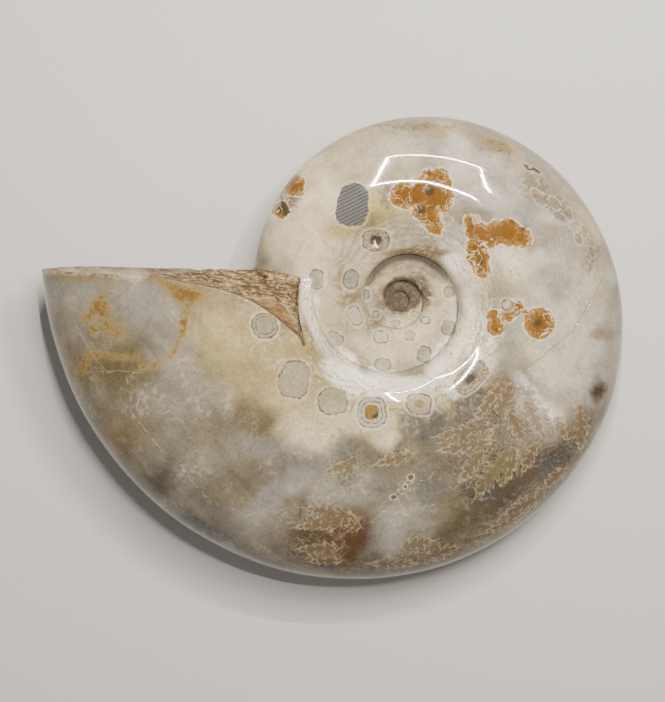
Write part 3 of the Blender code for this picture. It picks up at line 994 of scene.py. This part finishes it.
calcite = bpy.data.materials.new("polished_calcite")
calcite.use_nodes = True
tree = calcite.node_tree
shader = tree.nodes["Principled BSDF"]


def result(kind, inputs, **settings):
    """First output of a new node of the stone's material."""
    return node(tree, "ShaderNode" + kind, inputs, **settings).outputs[0]


def calc(operation, *values):
    """Result of one arithmetic step."""
    return result("Math", dict(enumerate(values)), operation=operation)


def times(*values):
    """Product of the values."""
    product = values[0]
    for value in values[1:]:
        product = calc("MULTIPLY", product, value)
    return product


def plus(*values):
    """Sum of the values."""
    total = values[0]
    for value in values[1:]:
        total = calc("ADD", total, value)
    return total


def shifted(by, amount, value):
    """The value, shifted by this amount of another."""
    return calc("MULTIPLY_ADD", by, amount, value)


def fade(value, start, end):
    """0 at start and 1 at end, joined by a smooth step."""
    inputs = {"Value": value, "From Min": start, "From Max": end}
    return result("MapRange", inputs, interpolation_type="SMOOTHSTEP")


def near(value, centre, outer, inner):
    """1 where the value is within inner of the centre, 0 beyond outer: it draws a line."""
    away = calc("SUBTRACT", value, centre) if centre else value
    return fade(calc("ABSOLUTE", away), outer, inner)


def mix(share, low, high):
    """Colour low turning into colour high as share goes from 0 to 1."""
    low, high = ((*c, 1) if isinstance(c, tuple) else c for c in (low, high))
    return node(tree, "ShaderNodeMix", {0: share, 6: low, 7: high}, data_type="RGBA").outputs[2]


def stored(name, output="Fac"):
    """A vertex attribute of the mesh."""
    return node(tree, "ShaderNodeAttribute", {}, attribute_name=name).outputs[output]


def parts(vector):
    """The three parts of a vector."""
    return node(tree, "ShaderNodeSeparateXYZ", {0: vector}).outputs


metres = node(tree, "ShaderNodeTexCoord", {}).outputs["Object"]
place = result("VectorMath", {0: metres, "Scale": 1000.0}, operation="SCALE")


def noise(cell, detail, distortion=0.0):
    """Cloud noise about 0, whose lumps are about cell millimetres apart."""
    inputs = {"Vector": place, "Scale": 1 / cell, "Detail": detail, "Distortion": distortion}
    return calc("SUBTRACT", result("TexNoise", inputs), 0.5)


share = stored("share")
cloud = noise(9.0, 4, 0.6)
wisp = noise(2.6, 3, 1.5)
grain = noise(0.5, 2)
frill = noise(1.5, 3, 1.2)
swell = noise(8.0, 0.5, 0.5)

# Ground: the tint, clouded and grained. Thin lines run beside the wall as in an agate, with
# straw, marbling and wrinkles near the middle, veins further out and streaks at the keel.
sweep = stored("sweep", "Vector")
sweeping = result("TexNoise", {"Vector": sweep, "Scale": 1.0, "Detail": 3.0})
sweeping = calc("SUBTRACT", sweeping, 0.5)
brightness = shifted(cloud, 1.05, shifted(wisp, 0.55, shifted(grain, 0.7, 1.0)))
brightness = shifted(sweeping, 0.35, brightness)
ground = result("VectorMath", {0: stored("tint", "Color"), "Scale": brightness}, operation="SCALE")
veil = fade(plus(cloud, times(wisp, 0.8)), 0.10, 0.32)
colour = mix(times(veil, 0.2), ground, (0.70, 0.64, 0.53))
banding = calc("FRACT", times(plus(cloud, times(wisp, 0.25)), 9.0))
band_line = near(banding, 0.5, 0.16, 0.03)
band_near = times(fade(share, 0.62, 0.38), fade(sweeping, -0.05, 0.12))
wall_gap = stored("wall_gap")
wall_bands = calc("FRACT", calc("DIVIDE", shifted(swell, 7.0, shifted(frill, 0.6, wall_gap)), 1.8))
wall_line = near(wall_bands, 0.5, 0.26, 0.06)
wall_near = times(fade(wall_gap, 13.0, 8.0), fade(plus(sweeping, wisp), -0.2, 0.1))
wall_near = times(wall_near, fade(wall_gap, 1.5, 6.0))
straw_in = times(fade(share, 0.52, 0.36), fade(plus(swell, wisp), -0.1, 0.25))
colour = mix(times(straw_in, 0.42), colour, (0.44, 0.345, 0.15))
mottle = times(fade(share, 0.27, 0.24), fade(plus(frill, times(wisp, 0.8)), 0.0, 0.16))
colour = mix(times(mottle, 0.38), colour, (0.24, 0.18, 0.10))
colour = mix(times(band_line, band_near, 0.75), colour, (0.27, 0.18, 0.08))
colour = mix(times(wall_line, wall_near, 0.7), colour, (0.24, 0.17, 0.065))
wrinkle_lines = calc("FRACT", times(noise(4.5, 2.5, 1.8), 5.0))
wrinkle = near(wrinkle_lines, 0.5, 0.24, 0.05)
wrinkle_near = times(fade(share, 0.66, 0.50), fade(plus(cloud, swell), -0.12, 0.15))
wrinkle_near = times(wrinkle_near, fade(wall_gap, 2.0, 5.0))
colour = mix(times(wrinkle, wrinkle_near, 0.5), colour, (0.33, 0.25, 0.10))
marble_in = times(fade(share, 0.50, 0.38), fade(plus(wisp, times(frill, 0.6)), 0.0, 0.2))
colour = mix(times(marble_in, 0.3), colour, (0.80, 0.74, 0.60))
vein_shift = result("CombineXYZ", {0: times(wisp, 5.0), 1: times(frill, 3.0)})
vein_place = result("VectorMath", {0: place, 1: vein_shift}, operation="ADD")
veins = result("TexVoronoi", {"Vector": vein_place, "Scale": 0.21}, feature="DISTANCE_TO_EDGE")
vein_in = times(fade(veins, 0.035, 0.008), times(fade(cloud, -0.05, 0.15), fade(share, 0.4, 0.5)))
colour = mix(times(vein_in, 0.28), colour, (0.50, 0.43, 0.32))
# Bright flecks: painted glints off fine scratches and pits.
painted_glints = times(near(frill, 0, 0.030, 0.008), times(fade(wisp, 0.07, 0.13), stored("painted_glints")))
colour = mix(times(painted_glints, 0.5), colour, (0.74, 0.70, 0.62))
rim_streak = times(fade(share, 0.87, 0.97), fade(plus(sweeping, times(wisp, 0.5)), -0.02, 0.14))
colour = mix(times(rim_streak, 0.5), colour, (0.27, 0.185, 0.10))

# Crowded sutures: winding pale strokes on dark brown.
winding = noise(4.0, 1.5, 1.8)
stroke_place = calc("FRACT", times(winding, 6.5))
stroke = near(stroke_place, 0.5, 0.34, 0.04)
frills_in = fade(shifted(frill, 1.3, stored("frills")), 0.35, 0.62)
frill_tone = mix(fade(cloud, -0.12, 0.14), (0.075, 0.053, 0.036), (0.11, 0.095, 0.072))
colour = mix(times(frills_in, 0.6), colour, frill_tone)
colour = mix(times(frills_in, stroke, 0.32), colour, (0.40, 0.33, 0.23))

# Leaves of the sutures: slanting rounded lobes on both sides of a rib, with a pale outline.
along, across, leaf_near = parts(stored("leaf", "Vector"))
length, half_width, olive = parts(stored("leaf_size", "Vector"))
along = times(shifted(wisp, 0.12, along), length)
side = calc("ABSOLUTE", shifted(frill, 0.16, shifted(wisp, 0.45, across)))
part_way = calc("MAXIMUM", calc("MINIMUM", calc("DIVIDE", along, length), 1.0), 0.0)
profile = calc("POWER", calc("SINE", times(calc("POWER", part_way, 0.75), math.pi)), 0.6)
slanted = calc("SUBTRACT", shifted(swell, 2.6, along), times(side, half_width, 0.9))
slanted = shifted(wisp, 1.1, slanted)
lobes = times(slanted, shifted(cloud, 1.2, 2 * math.pi / LOBE_PITCH))
scallop = calc("SQRT", shifted(calc("COSINE", lobes), 0.5, 0.501))
lobe_depth = shifted(cloud, 1.4, 0.66)
rim_at = times(profile, shifted(scallop, lobe_depth, 0.3))
leaf_gap = times(calc("SUBTRACT", rim_at, side), half_width)
leaf_in = times(fade(leaf_gap, -0.1, 0.3), leaf_near)
leaf_line = times(near(leaf_gap, 0.1, 0.48, 0.05), leaf_near)
leaf_line = times(leaf_line, fade(plus(cloud, wisp), -0.42, 0.05))
rib_line = times(fade(side, 0.16, 0.04), leaf_in)
leaf_tone = mix(olive, (0.19, 0.12, 0.066), (0.175, 0.135, 0.055))
leaf_tone = mix(fade(cloud, -0.1, 0.2), leaf_tone, (0.125, 0.088, 0.05))
colour = mix(times(leaf_in, 0.6), colour, leaf_tone)
outline_tone = mix(olive, (0.43, 0.34, 0.23), (0.40, 0.335, 0.18))
colour = mix(times(leaf_line, shifted(wisp, 1.2, 0.6)), colour, outline_tone)
colour = mix(times(rib_line, fade(cloud, 0.1, -0.1), 0.45), colour, (0.12, 0.075, 0.035))

# Iron stain: soft, deepest in the middle, mottled by the noises; narrow trails join the blots.
trail_gap, trail_near, _ = parts(stored("trail", "Vector"))
trail_gap = calc("ABSOLUTE", shifted(wisp, 3.0, trail_gap))
trail = times(fade(trail_gap, 1.9, 0.1), trail_near, shifted(cloud, 2.6, 0.6))
ochre = shifted(frill, 0.5, shifted(wisp, 0.5, calc("MAXIMUM", stored("ochre"), trail)))
ochre_depth = shifted(grain, 0.9, shifted(frill, 1.2, ochre))
ochre_tone = mix(fade(ochre_depth, 0.2, 1.2), (0.34, 0.25, 0.09), (0.18, 0.088, 0.010))
colour = mix(times(fade(ochre, 0.0, 0.9), 0.9), colour, ochre_tone)

# Amber chambers: a frilled edge with a pale line along it, darker cores and pale scribbles.
lobe = noise(2.4, 2, 0.8)
edge = shifted(lobe, 1.5, shifted(frill, 1.3, stored("amber")))
amber_in = fade(edge, 0.15, -0.15)
depth = fade(plus(edge, times(plus(wisp, grain), 4.0)), 0.2, -2.2)
amber_tone = mix(depth, (0.35, 0.175, 0.036), (0.185, 0.080, 0.010))
amber_mottle = fade(plus(frill, times(wisp, 1.2)), 0.02, 0.22)
amber_tone = mix(times(amber_mottle, 0.7), amber_tone, (0.10, 0.045, 0.010))
core = fade(shifted(wisp, 1.6, stored("amber_core")), 0.35, -0.5)
amber_tone = mix(times(core, 0.85), amber_tone, (0.05, 0.043, 0.022))
colour = mix(amber_in, colour, amber_tone)
scribble = near(lobe, 0.03, 0.030, 0.012)
scribble_near = times(near(plus(stored("amber"), 0.6), 0, 2.2, 0.9), fade(cloud, -0.12, 0.05))
amber_rim = times(near(edge, 0.22, 0.3, 0.1), fade(wisp, -0.12, 0.02))
pale_line = calc("MAXIMUM", times(scribble, scribble_near), amber_rim)
colour = mix(times(pale_line, 0.8), colour, (0.74, 0.64, 0.47))

# Spots: a thin dark rim, a pale halo, and for some an inner ring, an amber core or a druse.
u, v, size = parts(stored("spot", "Vector"))
rings, has_core, druse = parts(stored("spot_kind", "Color"))
pale_rim = stored("spot_kind", "Alpha")
powers = [calc("POWER", calc("ABSOLUTE", part), SPOT_SQUARENESS) for part in (u, v)]
reach = calc("POWER", plus(*powers), 1 / SPOT_SQUARENESS)
reach = shifted(wisp, 0.32, shifted(cloud, 0.5, reach))
spot_near = stored("spot_fill", "Alpha")
spot_gap = times(calc("SUBTRACT", reach, 1.0), size)
spot_in = times(fade(spot_gap, 0.1, -0.15), spot_near)
fill_dark = fade(parts(stored("spot_fill", "Color"))[0], 0.13, 0.10)
fill_clouds = times(fade(plus(grain, wisp), -0.3, 0.4), shifted(fill_dark, -0.95, 1.0))
fill = mix(fill_clouds, stored("spot_fill", "Color"), (0.34, 0.31, 0.235))
stripe_place = times(calc("SUBTRACT", times(v, size), times(u, 3.0)), 6.5)
stripe = fade(calc("COSINE", stripe_place), 0.0, 0.9)
fill = mix(times(stripe, fill_dark, 0.6), fill, (0.21, 0.21, 0.20))
crystals = mix(fade(grain, -0.14, 0.14), (0.20, 0.13, 0.07), (0.44, 0.37, 0.27))
crystals = mix(fade(reach, 0.25, 0.6), (0.05, 0.04, 0.03), crystals)
fill = mix(druse, fill, crystals)
colour = mix(times(spot_in, shifted(calc("MAXIMUM", druse, fill_dark), 0.3, 0.65)), colour, fill)
core_in = times(fade(reach, 0.5, 0.42), has_core, spot_near)
colour = mix(core_in, colour, mix(fade(wisp, -0.05, 0.15), (0.25, 0.15, 0.035), (0.06, 0.05, 0.04)))
halo = times(fade(spot_gap, 0.1, 0.3), fade(spot_gap, 1.0, 0.5), spot_near)
halo = times(halo, shifted(pale_rim, -0.9, 1.0))
colour = mix(times(halo, shifted(rings, 0.3, 0.3)), colour, (0.72, 0.65, 0.48))
rim_line = near(spot_gap, 0, 0.26, 0.08)
inner_line = times(near(shifted(size, 0.3, spot_gap), 0, 0.26, 0.08), rings)
dark_line = times(calc("MAXIMUM", rim_line, inner_line), spot_near)
dark_line = times(dark_line, calc("MAXIMUM", fade(frill, -0.2, 0.15), times(pale_rim, 0.8)))
colour = mix(dark_line, colour, mix(pale_rim, (0.11, 0.085, 0.06), (0.54, 0.45, 0.29)))

# Painted shadow and deposit under the upper wall, painted shade and deposit in the middle, seams between
# whorls, the crack and scratches.
seam = stored("seam")
middle = stored("middle")
# The arch is painted shadow over a dark deposit under the upper wall.
arch_in = fade(shifted(wisp, 0.6, stored("arch")), 0.05, 0.55)
colour = mix(times(arch_in, 0.8), colour, (0.05, 0.036, 0.022))
# The middle of the coil is a dark deposit deepened by painted shade of its hollow.
middle_in = fade(shifted(wisp, 1.4, middle), 0.5, -0.5)
middle_tone = mix(fade(plus(sweeping, wisp), -0.15, 0.2), (0.05, 0.034, 0.02), (0.125, 0.088, 0.052))
colour = mix(times(middle_in, 0.93), colour, middle_tone)
seam_line = times(fade(seam, 0.24, 0.06), times(fade(wisp, -0.1, 0.12), fade(middle, -1.5, 1.5)))
colour = mix(times(seam_line, 0.8), colour, (0.10, 0.08, 0.06))
crack_gap, crack_near, _ = parts(stored("crack", "Vector"))
crack_line = times(near(shifted(frill, 0.5, crack_gap), 0, 0.17, 0.05), crack_near)
colour = mix(times(crack_line, shifted(cloud, 1.2, 0.5)), colour, (0.16, 0.12, 0.08))

scratch_gap, scratch_near, _ = parts(stored("scratch", "Vector"))
scratch_line = near(shifted(wisp, 1.1, shifted(frill, 0.4, scratch_gap)), 0, 0.22, 0.04)
scratch_line = times(scratch_line, scratch_near, fade(wisp, -0.15, 0.1))
colour = mix(times(scratch_line, 0.34), colour, (0.60, 0.53, 0.42))

# Strip of shell wall, brown matrix in the gap, and the broken face of the mouth.
striae = result("TexNoise", {"Vector": sweep, "Scale": 3.0, "Detail": 2.0})
strip_tone = mix(fade(striae, 0.36, 0.58), (0.40, 0.31, 0.20), (0.86, 0.77, 0.63))
colour = mix(times(stored("strip"), 0.9), colour, strip_tone)
matrix_edge = shifted(frill, 1.0, stored("matrix"))
matrix_in = fade(matrix_edge, 0.0, 0.35)
druse_cells = node(tree, "ShaderNodeTexVoronoi", {"Vector": place, "Scale": 2.3}, feature="F1")
drawn_out = result("Mapping", {"Vector": place, "Scale": (0.22, 1.3, 1.0), "Rotation": (0, 0, 0.12)})
streaks = result("TexNoise", {"Vector": drawn_out, "Scale": 1.0, "Detail": 3.0, "Distortion": 0.8})
cell_red, glint, _ = parts(druse_cells.outputs["Color"])
cell_tone = shifted(cell_red, 0.25, shifted(wisp, 0.8, shifted(streaks, 2.6, -1.0)))
matrix_tone = mix(fade(cell_tone, 0.1, 0.9), (0.11, 0.06, 0.02), (0.48, 0.34, 0.16))
# Pale specks on the matrix: painted glints of its crystals.
matrix_tone = mix(fade(shifted(streaks, 0.6, glint), 1.22, 1.28), matrix_tone, (0.78, 0.66, 0.44))
divide_gap, divide_near, _ = parts(stored("divide", "Vector"))
divide_gap = shifted(frill, 0.8, divide_gap)
smooth_in = times(fade(divide_gap, 0.1, -0.1), divide_near)
striped = fade(plus(streaks, times(grain, 0.4)), 0.36, 0.62)
matrix_tone = mix(smooth_in, matrix_tone, mix(striped, (0.15, 0.075, 0.025), (0.30, 0.185, 0.07)))
divide_line = times(near(divide_gap, 0, 0.3, 0.12), divide_near)
matrix_tone = mix(times(divide_line, 0.7), matrix_tone, (0.62, 0.45, 0.27))
# Painted shade in the crevices along both edges of the gap's matrix.
matrix_tone = mix(times(fade(matrix_edge, 1.3, 0.2), 0.75), matrix_tone, (0.05, 0.028, 0.014))
mouth_edge = fade(shifted(wisp, 3.5, stored("mouth_gap")), 1.5, 0.6)
mouth_edge = times(mouth_edge, calc("SUBTRACT", 1.0, matrix_in))
mouth_tone = mix(fade(plus(cloud, wisp), -0.2, 0.1), (0.24, 0.145, 0.06), (0.60, 0.51, 0.36))
colour = mix(times(mouth_edge, 0.65), colour, mouth_tone)
rough_in = calc("MAXIMUM", matrix_in, stored("broken_face"))
face_tone = mix(fade(plus(cloud, swell), -0.2, 0.25), (0.24, 0.165, 0.09), (0.52, 0.43, 0.30))
face_tone = mix(times(fade(cell_tone, 0.2, 0.9), 0.35), face_tone, (0.62, 0.52, 0.38))
matrix_tone = mix(stored("broken_face"), matrix_tone, face_tone)
colour = mix(rough_in, colour, matrix_tone)
tree.links.new(colour, shader.inputs["Base Color"])

# Polish: glossy flank, duller towards the middle, rough in the gap and on the broken face.
POLISH = 0.045
MIDDLE_DULLNESS = 0.8
BROKEN_DULLNESS = 0.75
CALCITE_IOR = 1.56
inner = fade(share, 0.27, 0.22)
gloss = shifted(grain, 0.05, shifted(calc("MAXIMUM", inner, middle_in), MIDDLE_DULLNESS, POLISH))
roughness = plus(gloss, times(rough_in, BROKEN_DULLNESS))
tree.links.new(roughness, shader.inputs["Roughness"])
shader.inputs["IOR"].default_value = CALCITE_IOR
rugged = times(rough_in, shifted(smooth_in, -0.85, 1.0))
crystal_height = times(druse_cells.outputs["Distance"], rugged, -0.3)
surface_height = plus(crystal_height, times(crack_line, -0.06))
bump = result("Bump", {"Strength": 1.0, "Distance": 0.001, "Height": surface_height})
tree.links.new(bump, shader.inputs["Normal"])
mesh.materials.append(calcite)
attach(stone, "root")
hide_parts("ammonite")

# The floor: a wide pale matt sheet that the stone lies on.
FLOOR_HALF = 1.5
FLOOR_TONE = (0.64, 0.63, 0.61, 1)
FLOOR_ROUGHNESS = 0.9
floor_mesh = bpy.data.meshes.new("floor")
corners = [(x * FLOOR_HALF, y * FLOOR_HALF, 0) for x, y in ((-1, -1), (1, -1), (1, 1), (-1, 1))]
floor_mesh.from_pydata(corners, [], [(0, 1, 2, 3)])
floor = bpy.data.objects.new("floor", floor_mesh)
bpy.context.scene.collection.objects.link(floor)
paper = bpy.data.materials.new("floor_paper")
paper.use_nodes = True
paper_inputs = paper.node_tree.nodes["Principled BSDF"].inputs
paper_inputs["Base Color"].default_value = FLOOR_TONE
paper_inputs["Roughness"].default_value = FLOOR_ROUGHNESS
floor_mesh.materials.append(paper)
floor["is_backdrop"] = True

# The camera: looks down almost along the coiling axis, as in the photograph.
CAMERA_LEAN_X = math.radians(-4)
CAMERA_LEAN_Y = math.radians(5)
CAMERA_ROLL = 0.0076
CAMERA_AIM = np.array([-0.01684, -0.0135, 0])
CAMERA_DISTANCE = 0.520
CAMERA_LENS = 104.36
back = np.array([math.sin(CAMERA_LEAN_X), math.sin(CAMERA_LEAN_Y), 0])
back[2] = math.sqrt(1 - back @ back)
right = np.cross([0, 1, 0], back)
right = right / np.linalg.norm(right)
up = np.cross(back, right)
right, up = (
    math.cos(CAMERA_ROLL) * right + math.sin(CAMERA_ROLL) * up,
    math.cos(CAMERA_ROLL) * up - math.sin(CAMERA_ROLL) * right,
)
axes = lay_on_flank(np.stack([right, up, back]))
camera_place = lay_on_flank((CAMERA_AIM + CAMERA_DISTANCE * back)[None])[0] + shell_origin
camera_data = bpy.data.cameras.new("camera")
camera_data.lens = CAMERA_LENS
camera = bpy.data.objects.new("camera", camera_data)
camera.matrix_world = Matrix.Translation(camera_place) @ Matrix(axes.T.tolist()).to_4x4()
bpy.context.scene.collection.objects.link(camera)
bpy.context.scene.camera = camera

# The light: a rectangular frame of thin lamps over the stone, and a pale surround.
SURROUND_TONE = (1, 0.97, 0.93, 1)
SURROUND_STRENGTH = 0.24
world = bpy.data.worlds.new("studio")
world.use_nodes = True
surround = world.node_tree.nodes["Background"].inputs
surround["Color"].default_value = SURROUND_TONE
surround["Strength"].default_value = SURROUND_STRENGTH
bpy.context.scene.world = world
LAMP_HEIGHT = 0.45
LAMP_WIDTH = 0.003
LAMP_WATTS_PER_METRE = 9.0
LAMP_TONE = (1, 0.94, 0.86)
LAMP_LINES = [
    ((-0.030, 0.080), (-0.050, 0.285)),
    ((-0.050, 0.285), (0.150, 0.265)),
    ((0.150, 0.265), (0.106, 0.125)),
    ((-0.030, 0.080), (0.052, 0.061)),
]


def add_lamp(name, start, end):
    """A thin area light from start to end in the shell's plan, shining straight down."""
    along = np.subtract(end, start)
    length = float(np.hypot(*along))
    centre = np.array([[*np.add(start, end) / 2, LAMP_HEIGHT]])
    centre = lay_on_flank(centre)[0] + shell_origin
    data = bpy.data.lights.new(name, "AREA")
    data.shape = "RECTANGLE"
    data.size = length
    data.size_y = LAMP_WIDTH
    data.energy = LAMP_WATTS_PER_METRE * length
    data.color = LAMP_TONE
    bar = bpy.data.objects.new(name, data)
    bearing = math.atan2(along[1], along[0])
    bar.matrix_world = Matrix.Translation(centre) @ Matrix.Rotation(bearing, 4, "Z")
    bpy.context.scene.collection.objects.link(bar)


for number, (start, end) in enumerate(LAMP_LINES):
    add_lamp(f"lamp_{number}", start, end)

boxes = {"cad": cad_box, "visual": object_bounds()}
boxes = {name: [list(corner) for corner in box] for name, box in boxes.items()}
